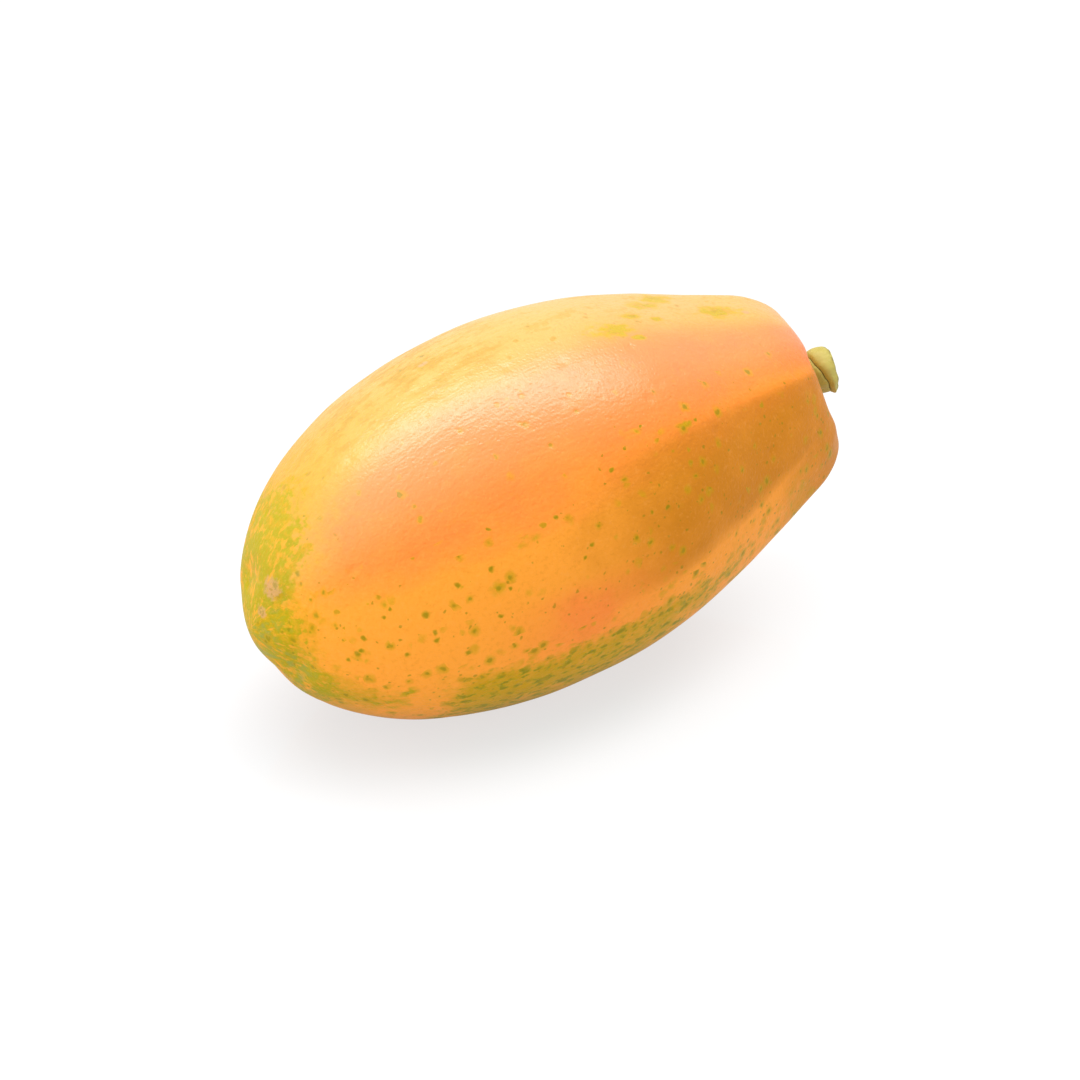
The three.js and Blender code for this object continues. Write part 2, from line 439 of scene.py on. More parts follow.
def tip_relief(along, radius, from_crest, size):
    """Swelling and groove at the blossom tip, and the lip of skin round the stalk"""
    blossom = along.rise(-50 * MM, -70 * MM)
    folds = 0.6 + 0.4 * (from_crest * 5 + 1).cosine()
    groove = size["tip_groove"] * folds * radius.hump(TIP_GROOVE_RADIUS, TIP_GROOVE_WIDTH)
    nipple = size["tip_nipple"] * radius.hump(0, TIP_NIPPLE_WIDTH)
    stem = along.rise(70 * MM, 84 * MM)
    lip = size["root_lip"] * radius.hump(ROOT_LIP_RADIUS, ROOT_LIP_WIDTH)
    return blossom * (groove - nipple) + stem * lip


def fruit_tree(material, sizes):
    """The tree that shapes a ball into the fruit, adds the relief and presses the flat spot"""
    graph, size = geometry_tree("Papaya fruit", sizes)
    ball = graph.add("GeometryNodeMeshUVSphere", sockets={"Segments": FRUIT_SIDES, "Rings": FRUIT_ROWS})
    x, y, z = graph.parts(graph.add("GeometryNodeInputPosition"))
    row = (x * x + y * y).root().maths("ARCTAN2", -z) / math.pi
    angle = y.maths("ARCTAN2", x)
    from_crest = angle - FRONT_CREST

    along, radius = outline(row, size)
    radius = lobed(along, radius, from_crest, size)
    slant = size["end_slant"] * along.rise(SLANT_START, SLANT_START + SLANT_RUN)
    sag = size["sag_depth"] * (along / SAG_SPAN) ** 2
    own = graph.joined(
        along - slant * radius * from_crest.cosine() + tip_relief(along, radius, from_crest, size),
        -(radius * angle.sine()) - sag * math.sin(SAG_ANGLE),
        radius * angle.cosine() + sag * math.cos(SAG_ANGLE),
    )
    laid = graph.add(
        "ShaderNodeVectorRotate", {"rotation_type": "Y_AXIS"}, {"Vector": own, "Angle": -AXIS_TILT}
    )
    laid = graph.vector("ADD", laid, tuple(RING_MIDDLE))
    body = graph.add("GeometryNodeSetPosition", sockets={"Geometry": ball, "Position": laid})

    place = graph.add("GeometryNodeInputPosition")
    relief = skin_relief(graph, place, size)
    outwards = graph.scaled(graph.add("GeometryNodeInputNormal"), relief)
    body = graph.add("GeometryNodeSetPosition", sockets={"Geometry": body, "Offset": outwards})

    x, y, z = graph.parts(graph.add("GeometryNodeInputPosition"))
    pressed = graph.joined(x, y, z.most(0))
    body = graph.add("GeometryNodeSetPosition", sockets={"Geometry": body, "Position": pressed})
    finish_tree(graph, body, material)
    return graph.tree


def lengthwise(graph, place, stretch):
    """The place with distances along the fruit made shorter, so that a pattern on it is drawn out"""
    along = graph.dot(place, ALONG)
    back = graph.scaled(tuple(ALONG), along * (1 / stretch - 1))
    return graph.vector("ADD", place, back)


def skin_relief(graph, place, size):
    """How far the skin stands out of the fruit's plain shape"""
    broad = graph.noise(place, UNDULATION_WIDTH, 1.0) - 0.5
    drawn_out = lengthwise(graph, place, WRINKLE_STRETCH)
    wrinkles = graph.noise(drawn_out, WRINKLE_WIDTH, 2.0) - 0.5
    bend = graph.noise(place, DIMPLE_BEND_SIZE, 1.0) * DIMPLE_BEND_REACH
    bent = graph.vector("ADD", place, graph.joined(bend, bend, 0))
    dimples = (graph.cells(bent, DIMPLE_CELL) * DIMPLE_CELL).rise(DIMPLE_RADIUS, DIMPLE_FLOOR)
    skin = SkinPlace(graph, place)
    raised = size["undulation"] * broad + size["wrinkle"] * wrinkles * skin.side(20, 60, 110)
    dent = size["rim_dent"] * skin.side(-18, 12, 40) * skin.along.rise(66, 80)
    return raised - size["dimple"] * dimples - dent


# Skin

# Sizes of the unevenness in the skin's colours, from the largest patches to the finest grain
BROAD_PATCH = 26 * MM
PATCH = 9 * MM
BLOT = 3.6 * MM
STREAK = 3.2 * MM
DAPPLE = 2.4 * MM
DAB = 2.1 * MM
GRAIN = 1.3 * MM

# How far streaks and dapples are drawn out along the fruit
STREAK_STRETCH = 4
DAPPLE_STRETCH = 1.6

# How the outlines of dots and dapples are bent out of true
BEND_SIZE = 2.2 * MM
BEND_REACH = 1.6 * MM

# Ribs that run out from the blossom tip. Its place on the axis is in millimetres, and so is
# the least radius that anything is divided by.
TIP_PLACE = -84
RIB_STRETCH = 0.55 * MM
RIB_SPREAD = 20 * MM
LEAST_RADIUS = 0.5

# Cells that dots and pores are strewn over, and the radius of each kind
LARGE_CELL = 3.6 * MM
LARGE_DOT = 0.85 * MM
HALO = 1.8 * MM
SMALL_CELL = 2.2 * MM
SMALL_DOT = 0.5 * MM
PORE_CELL = 4.6 * MM
PORE = 1.0 * MM
PINPRICK_CELL = 2.3 * MM
PINPRICK = 0.32 * MM

# Relief that is too fine for the mesh
FINE_GRAIN = 0.8 * MM
PIT_CELL = 1.5 * MM
CREASE = 1.3 * MM
FINE_RELIEF = 0.3 * MM

# Marks that the photo shows: place along the fruit, angle round it from the front crest,
# half length and half width, in millimetres and degrees
OCHRE_MARKS = [
    (28, 42, 6.2, 2.6), (38, 49, 4.0, 1.6), (46, 58, 7.0, 2.2), (52, 64, 6.0, 2.6), (66, 52, 8.0, 2.6),
    (33, 36, 2.4, 1.0), (44, 46, 3.0, 1.2),
]
GREEN_MARKS = [
    (29, 0, 5.0, 1.0), (13, 4, 2.2, 1.0), (-70, -39, 3.0, 2.0), (-25, -12, 3.0, 1.4), (-36, -23, 2.2, 1.4),
    (-66, -72, 10, 4.0), (-60, -62, 4.0, 2.0), (20, -62, 5.0, 2.0), (36, -64, 5.0, 2.0),
]
SCAR_MARKS = [(-79.6, 29, 1.9, 2.9), (-83, 20, 1.0, 1.6), (75, 50, 1.1, 0.9), (-20, 62, 1.3, 0.8)]

# Green dots and pores that the photo shows: place along the fruit, angle round it and radius
PLACED_DOTS = [
    (-54, -24, 1.2), (-53, -35, 1.0), (-53, -32, 0.8), (-36, -16, 1.0), (-33, -4, 0.7), (-16, -9, 0.9),
    (-9, -21, 0.9), (-12, -24, 0.7), (-70, -38, 1.1), (-72, -42, 0.9), (-69, -36, 0.9), (-60, -40, 0.9),
    (-46, -43, 1.0), (-68, -29, 0.9), (-63, -21, 0.7), (-61, -18, 0.7), (-45, -17, 0.9), (-37, -32, 0.8),
    (-33, -24, 0.7), (3, -3, 0.7), (10, -20, 0.8), (15, -21, 0.8), (9, 1, 0.7), (16, 5, 0.6), (33, 0, 0.8),
]
PLACED_PORES = [
    (-8, 29, 0.9), (3, 23, 0.8), (-15, 30, 0.9), (2, 17, 0.8), (-27, 28, 0.9), (-9, 11, 0.9),
    (-12, 20, 1.2), (-13, 21, 0.8),
]


def skin_spot(fruit, along, around):
    """Point of the fruit's skin at a place along its axis and an angle round it"""
    start = RING_MIDDLE + ALONG * (along * MM)
    angle = math.radians(around)
    outwards = FRONT * math.cos(angle) + UPPER * math.sin(angle)
    hit, point, _, _ = fruit.ray_cast(start, outwards)
    if not hit:
        raise RuntimeError(f"no skin {along} mm along the fruit")
    return tuple(point)


class SkinPlace:
    """Where a point of the skin is: millimetres along the fruit, and how it leans round the axis"""

    def __init__(self, graph, place):
        self.graph = graph
        self.place = place
        centred = graph.vector("SUBTRACT", place, tuple(RING_MIDDLE))
        self.along = graph.dot(centred, ALONG) * (1 / MM)
        self.front = graph.dot(centred, FRONT) * (1 / MM)
        self.upper = graph.dot(centred, UPPER) * (1 / MM)
        self.radius = (self.front * self.front + self.upper * self.upper).root()

    def lean(self, degrees):
        """Cosine of the angle round the axis from the given direction, which is 0 at the front crest"""
        angle = math.radians(degrees)
        turned = self.front * math.cos(angle) + self.upper * math.sin(angle)
        return turned / self.radius.most(LEAST_RADIUS)

    def side(self, degrees, full, fading):
        """1 within the first angle of a direction round the axis, 0 beyond the second"""
        return self.lean(degrees).rise(math.cos(math.radians(fading)), math.cos(math.radians(full)))


class SkinPaint(SkinPlace):
    """The skin's colour, laid on coat by coat, and the noise that makes its patches uneven"""

    def __init__(self, graph, place, colours, fruit):
        super().__init__(graph, place)
        self.colours = colours
        self.fruit = fruit
        self.colour = colours["golden"]
        self.streaks = lengthwise(graph, place, STREAK_STRETCH)
        self.ribs = self.rib_place()
        self.broad = self.uneven(place, BROAD_PATCH)
        self.patchy = self.uneven(place, PATCH, 3.0, 0.55)
        self.streaky = self.uneven(self.streaks, STREAK, 3.0, 0.6)
        self.dabs = self.uneven(self.ribs, DAB, 2.0, 0.6)
        self.grain = self.uneven(place, GRAIN, 2.0, 0.65)
        self.bent = self.bent_place()
        self.dapple = self.uneven(lengthwise(graph, self.bent, DAPPLE_STRETCH), DAPPLE, 1.0)

    def rib_place(self):
        """A place on which noise is drawn out in ribs that run from the blossom tip"""
        to_tip = self.along - TIP_PLACE
        from_tip = (to_tip * to_tip + self.radius * self.radius).root()
        around = self.radius.most(LEAST_RADIUS)
        front = self.front / around * RIB_SPREAD
        upper = self.upper / around * RIB_SPREAD
        return self.graph.joined(from_tip * RIB_STRETCH, front, upper)

    def bent_place(self):
        """The place, moved a little to and fro, so that round dots on it are out of true"""
        bend = self.graph.noise(self.place, BEND_SIZE, 1.0, output=1)
        bend = self.graph.vector("SUBTRACT", bend, (0.5, 0.5, 0.5))
        return self.graph.vector("MULTIPLY_ADD", bend, (BEND_REACH, BEND_REACH, BEND_REACH), self.place)

    def uneven(self, place, size, detail=2.0, roughness=0.5):
        """Noise that swings about zero"""
        return self.graph.noise(place, size, detail, roughness) * 2 - 1

    def lay(self, name, amount):
        """Lays one of the skin's colours over what is there"""
        self.colour = self.graph.mix(self.colour, self.colours[name], amount)

    def mark(self, spot, ragged, softness):
        """A patch round one spot, drawn out along the fruit"""
        along_fruit, around, half_length, half_width = spot
        centre = skin_spot(self.fruit, along_fruit, around)
        offset = self.graph.vector("SUBTRACT", self.place, centre)
        along = self.graph.dot(offset, ALONG) / (half_length * MM)
        distance = self.graph.vector("LENGTH", offset, output=1) / (half_width * MM)
        across = (distance * distance - (along * (half_length / half_width)) ** 2).most(0)
        return ((along * along + across).root() + ragged).rise(1 + softness, 1 - softness)

    def marks(self, spots, ragged, softness=0.25):
        """Patches with ragged edges"""
        return reduce(Value.most, [self.mark(spot, ragged, softness) for spot in spots])

    def dots_at(self, place, spots):
        """Soft round dots, one at each spot of the skin"""
        dots = []
        for along, around, radius in spots:
            centre = skin_spot(self.fruit, along, around)
            distance = self.graph.vector("DISTANCE", place, centre, output=1)
            dots.append(distance.rise(1.25 * radius * MM, 0.3 * radius * MM))
        return reduce(Value.most, dots)

    def strewn(self, cell, radius, density):
        """Dots of uneven size, where the density is the share of the cells that hold one"""
        distance = self.graph.cells(self.bent, cell) * cell
        pick, grade, _ = self.graph.parts(self.graph.cells(self.bent, cell, 1))
        present = pick.maths("LESS_THAN", density)
        return (distance - radius * (0.4 + 0.6 * grade)).rise(0.4 * radius, -0.4 * radius) * present


def paint_ground(skin):
    """Golden, browner below the front crest, which is partly the skin's own colour and partly painted
    shade, with painted shade in the same brown under the stem end, a salmon flush on it and paler yellow
    above
    """
    # Painted shade: browner orange on the underside of the stem end
    painted_shade_under_stem = skin.side(-52, 28, 46) * skin.along.rise(48, 85)
    # Below the front crest the browner orange is partly the skin's own colour and partly painted shade on
    # the face turned from the overhead light
    below = skin.side(-22, 16, 27).most(painted_shade_under_stem) * skin.along.rise(-30, 25)
    uneven = (below + skin.patchy * 0.35 + skin.broad * 0.3).held()
    skin.lay("amber_and_shade", uneven * below.rise(0, 0.35))
    flush = skin.side(16, 6, 34) * skin.along.rise(-82, -60)
    uneven = (flush + skin.broad * 0.4 + skin.patchy * 0.25 + skin.streaky * 0.12).held()
    skin.lay("blush", uneven * flush.rise(0, 0.3) * (1 - below * 0.7))
    upwards = skin.lean(86) - skin.along.rise(-10, -55) * 0.28 - skin.along.rise(0, 80) * 0.05
    uneven = upwards + skin.broad * 0.14 + skin.patchy * 0.12 + skin.streaky * 0.1
    skin.lay("peach", uneven.rise(0.56, 0.9))


def paint_upper_edge(skin):
    """Ochre mottles on the upper side, and brown streaks at its far edge"""
    edge = skin.side(90, 36, 56) * skin.along.rise(20, -20)
    mottles = (skin.patchy * 0.5 + skin.streaky * 0.5 + skin.grain * 0.3).rise(0.02, 0.22)
    mottles = mottles * skin.side(80, 20, 48)
    tone = (edge * (0.6 + skin.streaky * 1.6 + skin.patchy * 1.2 + skin.grain * 0.4)).held()
    skin.lay("ochre", (mottles * 0.6).most(tone * 0.9))
    brown = (skin.streaky * 2.2 + skin.patchy * 1.4 + skin.grain * 0.8 + 0.1).held()
    skin.lay("umber", brown * edge * 0.72)


def paint_flares(skin):
    """A weaker flush on the far side, and a pink patch above the low band"""
    uneven = (0.35 + skin.broad * 1.6 + skin.patchy * 0.6).held()
    far_flush = skin.side(-165, 20, 60) * uneven * skin.along.rise(-80, -50)
    skin.lay("blush", far_flush * 0.6)
    uneven = 0.85 + skin.patchy * 0.8 + skin.broad * 0.5
    flare = skin.side(-45, 3, 17) * skin.along.hump(-12, 17) * uneven
    skin.lay("blush", flare.held() * 0.8)


def paint_unripe_tip(skin):
    """A blotchy green cap round the blossom tip; gives the cap and the share of skin near it"""
    shifted = skin.graph.vector("MULTIPLY_ADD", skin.ribs, (0.5, 0.5, 0.5), skin.place)
    blots = skin.uneven(shifted, BLOT, 2.0, 0.6)
    width = 16 + 14.5 * skin.side(80, 15, 85) + 10 * skin.side(-85, 5, 40)
    inwards = (skin.radius + blots * 9 + skin.patchy * 5 + skin.dabs * 2) / width
    tip = skin.along.rise(-42, -60)
    skin.lay("ochre", inwards.rise(1.6, 0.9) * tip * 0.8)
    cap = (inwards + skin.grain * 0.1).rise(1.08, 0.92) * tip
    uneven = (0.95 + blots * 1.5 + skin.dapple * 0.9 + skin.grain * 0.3).held()
    skin.lay("lime", cap * uneven)
    skin.lay("golden", cap * (skin.dabs + skin.streaky * 0.5).rise(0.08, 0.34) * 0.5)
    core = (inwards + skin.patchy * 0.4).rise(1.0, 0.7) * tip * skin.side(-60, 50, 95)
    skin.lay("leaf", core * (0.2 + blots * 2 + skin.dapple).held() * 0.6)
    near_tip = inwards.rise(2.2, 1.2) * tip * skin.side(-60, 60, 110)
    return cap, near_tip


def paint_low_band(skin):
    """The unripe band low on the front, and fainter patches on the underside"""
    low_side = skin.side(-74, 16, 30) * skin.along.rise(-62, -44)
    start = (skin.along + skin.broad * 14).rise(-58, -42)
    end = (skin.along + skin.broad * 20).rise(74, -6)
    band = skin.side(-76, 15, 28) * start * end
    thick = (band * 1.4 + skin.patchy * 0.9 + skin.dapple * 0.3 - 0.4).held() * band.rise(0, 0.3)
    underside = (skin.patchy * 2 + skin.broad * 1.5 - 0.35).held()
    thick = thick.most(skin.side(-150, 20, 50) * underside * 0.8)
    skin.lay("olive", thick.most(low_side * (skin.patchy * 2).held() * 0.6) * 0.9)
    return thick, low_side


def paint_marks(skin, thick):
    """Ochre and green marks, and the green dapples on them and on the low band"""
    ragged = skin.streaky * 0.5 + skin.grain * 0.35
    ochre_marks = skin.marks(OCHRE_MARKS, ragged * 1.5 + skin.patchy + skin.dapple, 0.5)
    skin.lay("mustard", ochre_marks * 0.95)
    skin.lay("umber", ochre_marks * (skin.dapple + skin.grain * 0.5).rise(0, 0.3) * 0.5)
    green_marks = skin.marks(GREEN_MARKS, ragged + skin.patchy * 0.5, 0.7)
    green_marks = green_marks * (0.6 + skin.dapple * 1.6).held()
    skin.lay("olive", green_marks * 0.8)
    freckles = skin.dapple + skin.grain * 0.3
    skin.lay("lime", thick.most(green_marks * 0.8) * freckles.rise(-0.05, 0.3) * 0.8)
    skin.lay("speckle", thick * freckles.rise(0.08, 0.36) * 0.85)
    return ochre_marks


def paint_dots(skin, low_side, near_tip):
    """Green dots, sparse on the front and dense towards the low band and the blossom end"""
    right_middle = skin.side(-18, 18, 42) * skin.along.rise(-25, 20)
    far_side = skin.side(180, 40, 90)
    density = 0.02 + 0.3 * skin.side(-54, 26, 56) + 0.15 * right_middle + 0.1 * far_side
    density = density + 0.6 * low_side + 0.3 * near_tip
    patchy_density = density * (0.8 + skin.broad)
    large = skin.strewn(LARGE_CELL, LARGE_DOT, patchy_density)
    small = skin.strewn(SMALL_CELL, SMALL_DOT, density * (1.1 + skin.patchy * 2))
    halo = skin.strewn(LARGE_CELL, HALO, patchy_density)
    placed = skin.dots_at(skin.bent, PLACED_DOTS)
    skin.lay("olive", halo.most(placed) * 0.6)
    spots = (large * 0.8).most(small * 0.75).most(placed * placed * 0.9)
    skin.lay("speckle", spots * 0.85)


def paint_pores(skin):
    """Brown pores with duller rings, and pinpricks between them, on the upper side"""
    upper = skin.side(45, 50, 90)
    placed = skin.dots_at(skin.place, PLACED_PORES)
    pores = (skin.strewn(PORE_CELL, PORE, 0.25 + skin.broad * 0.3) * upper).most(placed)
    pinpricks = skin.strewn(PINPRICK_CELL, PINPRICK, 0.12 + skin.patchy * 0.3) * upper
    skin.lay("mustard", pores * 0.4)
    skin.lay("umber", (pores * pores * 0.75).most(pinpricks * 0.6))
    return placed


def paint_scars(skin):
    """Dry scars, and a fine grain over everything"""
    scars = skin.marks(SCAR_MARKS, skin.grain * 0.7 + skin.dabs * 0.6)
    skin.lay("scar", scars * (0.8 + skin.grain * 0.9).held())
    skin.lay("speckle", scars * (skin.dapple + skin.grain).rise(0.05, 0.4) * 0.5)
    skin.lay("amber_and_shade", skin.grain.rise(0, 0.45) * 0.22)
    skin.lay("peach", skin.grain.rise(-0.05, -0.5) * 0.18)
    return scars


def skin_bump(skin, placed_pores):
    """Normal of the skin with its fine grain, pits, creases and sunken pores"""
    graph = skin.graph
    fine = graph.noise(skin.place, FINE_GRAIN, 1.0, 0.6) * 0.5
    pits = graph.cells(skin.place, PIT_CELL).rise(0, 0.4) * 0.25
    creased = 0.2 + 0.35 * skin.side(40, 30, 75)
    creases = graph.noise(skin.streaks, CREASE, 1.0) * creased
    height = fine + pits + creases - placed_pores * 0.6
    sockets = {"Strength": 0.8, "Distance": FINE_RELIEF, "Height": height}
    return graph.add("ShaderNodeBump", sockets=sockets)


def finish_skin(material, skin, bump, roughness, waxy_amount):
    """Ends the skin's material in a dull shader, with a waxy one where it is lit from above"""
    nodes = material.node_tree.nodes
    dull = nodes["Principled BSDF"]
    waxy = skin.graph.add("ShaderNodeBsdfPrincipled").socket.node
    for shader in (dull, waxy):
        skin.graph.link(skin.colour, shader.inputs["Base Color"])
        skin.graph.link(roughness, shader.inputs["Roughness"])
        skin.graph.link(bump, shader.inputs["Normal"])
    dull.inputs["Specular IOR Level"].default_value = 0.07
    waxy.inputs["Specular IOR Level"].default_value = 0.85
    waxy.inputs["Coat Weight"].default_value = 0.25
    waxy.inputs["Coat Roughness"].default_value = 0.35
    dull, waxy = (Value(skin.graph, shader.outputs[0]) for shader in (dull, waxy))
    blended = skin.graph.add("ShaderNodeMixShader", sockets={0: waxy_amount, 1: dull, 2: waxy})
    skin.graph.link(blended, nodes["Material Output"].inputs["Surface"])


def paint_skin(material, colours, fruit):
    """Fills the skin's material, whose marks stand where the photo shows them on the fruit"""
    graph = node_graph(material)
    skin = SkinPaint(graph, object_place(graph), colours, fruit)
    paint_ground(skin)
    paint_upper_edge(skin)
    paint_flares(skin)
    cap, near_tip = paint_unripe_tip(skin)
    thick, low_side = paint_low_band(skin)
    ochre_marks = paint_marks(skin, thick)
    paint_dots(skin, low_side, near_tip)
    placed_pores = paint_pores(skin)
    scars = paint_scars(skin)
    bump = skin_bump(skin, placed_pores)
    roughness = 0.36 + skin.patchy * 0.06 + cap * 0.08 + skin.grain * 0.08 + scars * 0.2
    lit_side = skin.side(50, 20, 50) * (0.45 + 0.55 * skin.along.rise(-72, -35))
    finish_skin(material, skin, bump, roughness, lit_side * (1 - cap * 0.7 - ochre_marks * 0.5).held())


# Stalk stub

def stalk_rings(size):
    """Height above the root, radius, and how far a ring is lower on the stub's upper side"""
    neck, collar, crease = size["neck_radius"], size["collar_radius"], size["crease_height"]
    top, rounding = size["stub_length"], size["cut_rounding"]
    rise = top - crease
    root = neck + size["root_flare"]
    tilt, slant = size["crease_tilt"], -size["cut_slant"]
    return [
        (0.0, 0.02 * root, 0),
        (0.2 * MM, 0.55 * root, 0),
        (0.7 * MM, root, 0),
        (1.8 * MM, neck + 0.3 * size["root_flare"], 0),
        (0.6 * crease, 1.03 * neck, 0.5 * tilt),
        (crease - 0.7 * MM, 1.12 * neck, tilt),
        (crease - 0.1 * MM, 1.09 * neck, tilt),
        (crease, 1.05 * neck, tilt),
        (crease + 0.05 * rise, 0.84 * collar, tilt),
        (crease + 0.2 * rise, 0.94 * collar, 0.9 * tilt),
        (crease + 0.45 * rise, 0.985 * collar, 0.5 * tilt + 0.3 * slant),
        (top - 1.3 * rounding, 0.95 * collar, 0.2 * tilt + 0.8 * slant),
        (top - 0.3 * rounding, collar - 0.9 * rounding, 0.9 * slant),
        (top, collar - 1.6 * rounding, 0.8 * slant),
        (top - 0.7 * size["cut_hollow"], 0.4 * collar, 0.4 * slant),
        (top - size["cut_hollow"], 0.02 * collar, 0),
    ]


def between(rings, steps):
    """More rings along a smooth curve through the given ones"""
    points = [Vector(ring) for ring in rings]
    fine = []
    for index in range(len(points) - 1):
        before = points[max(index - 1, 0)]
        start, end = points[index], points[index + 1]
        beyond = points[min(index + 2, len(points) - 1)]
        for step in range(steps):
            t = step / steps
            bend = (end - before) * 0.5 * t * (1 - t) ** 2 - (beyond - start) * 0.5 * t * t * (1 - t)
            fine.append(start * (1 - t) ** 2 * (1 + 2 * t) + end * t * t * (3 - 2 * t) + bend)
    return fine + [points[-1]]


def stalk_frame(size):
    """Where the stalk's root is, and its own axes: along it, its upper side, and square to both"""
    reach = size["stem_reach"] - size["end_dish"]
    sag = size["sag_depth"] * (reach / SAG_SPAN) ** 2
    root = Vector((reach, -sag * math.sin(SAG_ANGLE), sag * math.cos(SAG_ANGLE)))
    axis = (ALONG + size["end_slant"] * FRONT).normalized()
    upper = FRONT.cross(axis).normalized()
    return RING_MIDDLE + LAY_TURN @ root, axis, upper, axis.cross(upper)


def stalk_mesh(size, fruit_size):
    """The stub as rings of points, with the place of each point on it kept as a colour"""
    root, axis, upper, side = stalk_frame(fruit_size)
    mesh = bmesh.new()
    shade = mesh.verts.layers.float_color.new("stalk_place")
    grid = []
    for height, radius, tilt in between(stalk_rings(size), STALK_STEPS):
        row = []
        for step in range(STALK_SIDES):
            angle = 2 * math.pi * step / STALK_SIDES
            lift = height - tilt * math.cos(angle)
            around = Vector((math.cos(angle), math.sin(angle), 0))
            rough = noise.noise(Vector((around.x * 2.2, around.y * 2.2, lift / LUMP_LENGTH)))
            fibre = noise.noise(Vector((around.x * 9, around.y * 9, lift / FIBRE_LENGTH)))
            spread = min(radius / size["neck_radius"], 1)
            wide = radius + spread * (size["fibre"] * fibre + LUMP_HEIGHT * rough)
            lift += spread * LUMP_LIFT * rough * min(lift / LUMP_START, 1)
            point = root + axis * (lift + STALK_GAP) + upper * wide * around.x + side * wide * around.y
            vertex = mesh.verts.new(point)
            vertex[shade] = (height / size["stub_length"], radius / size["collar_radius"], 0, 1)
            row.append(vertex)
        grid.append(row)
    for low, high in zip(grid, grid[1:]):
        for step in range(STALK_SIDES):
            following = (step + 1) % STALK_SIDES
            mesh.faces.new((low[step], low[following], high[following], high[step]))
    mesh.faces.new(list(reversed(grid[0])))
    mesh.faces.new(grid[-1])
    for face in mesh.faces:
        face.smooth = True
    bmesh.ops.recalc_face_normals(mesh, faces=mesh.faces)
    data = bpy.data.meshes.new("stalk")
    mesh.to_mesh(data)
    mesh.free()
    return data


def stalk_material(size):
    """Yellow-green collar, darker neck, brown crease, painted shade at the root, and a pale cut with a
    dried edge
    """
    material = bpy.data.materials.new("papaya_stalk")
    graph = node_graph(material)
    shader = material.node_tree.nodes["Principled BSDF"]
    place = object_place(graph)
    on_stub = graph.add("ShaderNodeVertexColor", {"layer_name": "stalk_place"})
    height, radius, _ = graph.parts(on_stub)
    broad = graph.noise(place, 5 * MM, 2.0) * 2 - 1
    fine = graph.noise(place, 1.1 * MM, 3.0, 0.6) * 2 - 1
    crease_share = size["crease_height"] / size["stub_length"]

    youth = (height + broad * 0.05).rise(crease_share - 0.12, crease_share + 0.1)
    paint = graph.mix(size["old"], size["young"], youth)
    paint = graph.mix(paint, size["old"], (broad * 0.9 + fine * 0.6).rise(0.05, 0.5) * 0.6)
    crease = height.hump(crease_share, 0.012)
    paint = graph.mix(paint, size["dry"], crease * 0.8)
    # Painted shade: brown where the root meets the fruit's dish
    paint = graph.mix(paint, size["dry"], (height + fine * 0.03).rise(0.16, 0.02) * 0.8)
    on_cut = height.rise(0.93, 0.96) * radius.rise(0.86, 0.76)
    paint = graph.mix(paint, size["cut"], on_cut * (0.8 + fine * 0.3).held())
    edge = height.rise(0.93, 0.97) * radius.hump(0.88, 0.08) * fine.rise(-0.25, 0.25)
    paint = graph.mix(paint, size["dry"], edge * 0.75)

    relief = graph.noise(place, 0.8 * MM, 3.0) + broad * 0.5
    bump = graph.add("ShaderNodeBump", sockets={"Strength": 0.5, "Distance": 0.15 * MM, "Height": relief})
    graph.link(paint, shader.inputs["Base Color"])
    graph.link(0.55 + fine * 0.08 + crease * 0.2, shader.inputs["Roughness"])
    graph.link(bump, shader.inputs["Normal"])
    shader.inputs["Subsurface Weight"].default_value = 0.08
    shader.inputs["Subsurface Radius"].default_value = (0.6, 0.6, 0.2)
    shader.inputs["Subsurface Scale"].default_value = 2 * MM
    return material


# Stage

def floor_material(look):
    """A white floor with a faint gloss that shines from below, with a painted shadow beside the fruit that
    dims its shine as seen and as a light on the fruit
    """
    material = bpy.data.materials.new("white_floor")
    graph = node_graph(material)
    nodes = material.node_tree.nodes
    shader = nodes["Principled BSDF"]
    place = object_place(graph)
    shader.inputs["Base Color"].default_value = (*look.floor_colour, 1)
    shader.inputs["Roughness"].default_value = 0.10
    shader.inputs["Coat Weight"].default_value = 0.3
    shader.inputs["Coat Roughness"].default_value = 0.05
    x, y, _ = graph.parts(graph.vector("SUBTRACT", place, REST_SPOT))
    from_fruit = ((x * x) * 0.35 + y * y).root()
    away = from_fruit.rise(0.03, 0.17)
    seen_directly = graph.add("ShaderNodeLightPath")
    # Painted shadow: the shine seen directly is dimmed beside the fruit, and more so beside its flat spot
    shaded = look.floor_shine - look.floor_shade * from_fruit.rise(0.09, 0.02)
    shaded = shaded - look.contact_shade * from_fruit.rise(0.056, 0.03)
    # Painted shade: the shine that lights the fruit is dimmed near the flat spot
    lit = look.floor_light * (1 - 0.6 * from_fruit.rise(0.07, 0.02))
    strength = seen_directly * shaded + (1 - seen_directly) * lit
    glow = graph.add("ShaderNodeEmission", sockets={"Color": (1, 1, 1, 1), "Strength": strength})
    glow_share = away * (1 - look.floor_glow) + look.floor_glow
    layers = {0: glow_share, 1: Value(graph, shader.outputs[0]), 2: glow}
    blended = graph.add("ShaderNodeMixShader", sockets=layers)
    graph.link(blended, nodes["Material Output"].inputs["Surface"])
    return material


